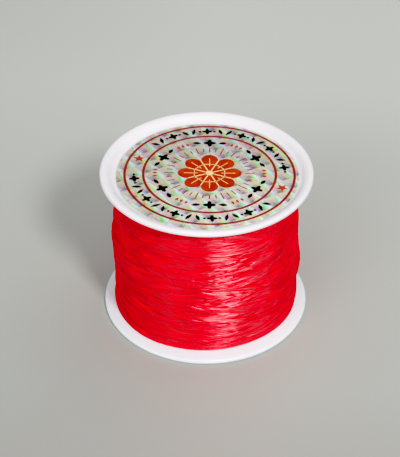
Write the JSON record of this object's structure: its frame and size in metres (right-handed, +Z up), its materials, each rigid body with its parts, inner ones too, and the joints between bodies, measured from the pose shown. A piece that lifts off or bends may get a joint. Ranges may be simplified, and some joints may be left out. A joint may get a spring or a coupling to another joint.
{
  "type": "spool of elastic cord",
  "caption": "Flanged plastic craft spool wound full with red elastic cord, with a round film label in the dish of its upper flange.",
  "frame": {"origin": "centre of the ring that the spool stands on, on its axis", "axes": "+Z up along the spool's axis towards the labelled flange, -Y towards the side seen in the picture, +X to the right"},
  "size_m": [0.048, 0.048, 0.0375],
  "materials": {
    "plastic": "white moulded plastic, soft gloss",
    "cord": "red elastic fibre, silky",
    "film": "metallised label film in small tilted tiles, printed"
  },
  "bodies": {
    "root": {"spool": "plastic", "winding": "cord", "label": "film"}
  },
  "joints": []
}
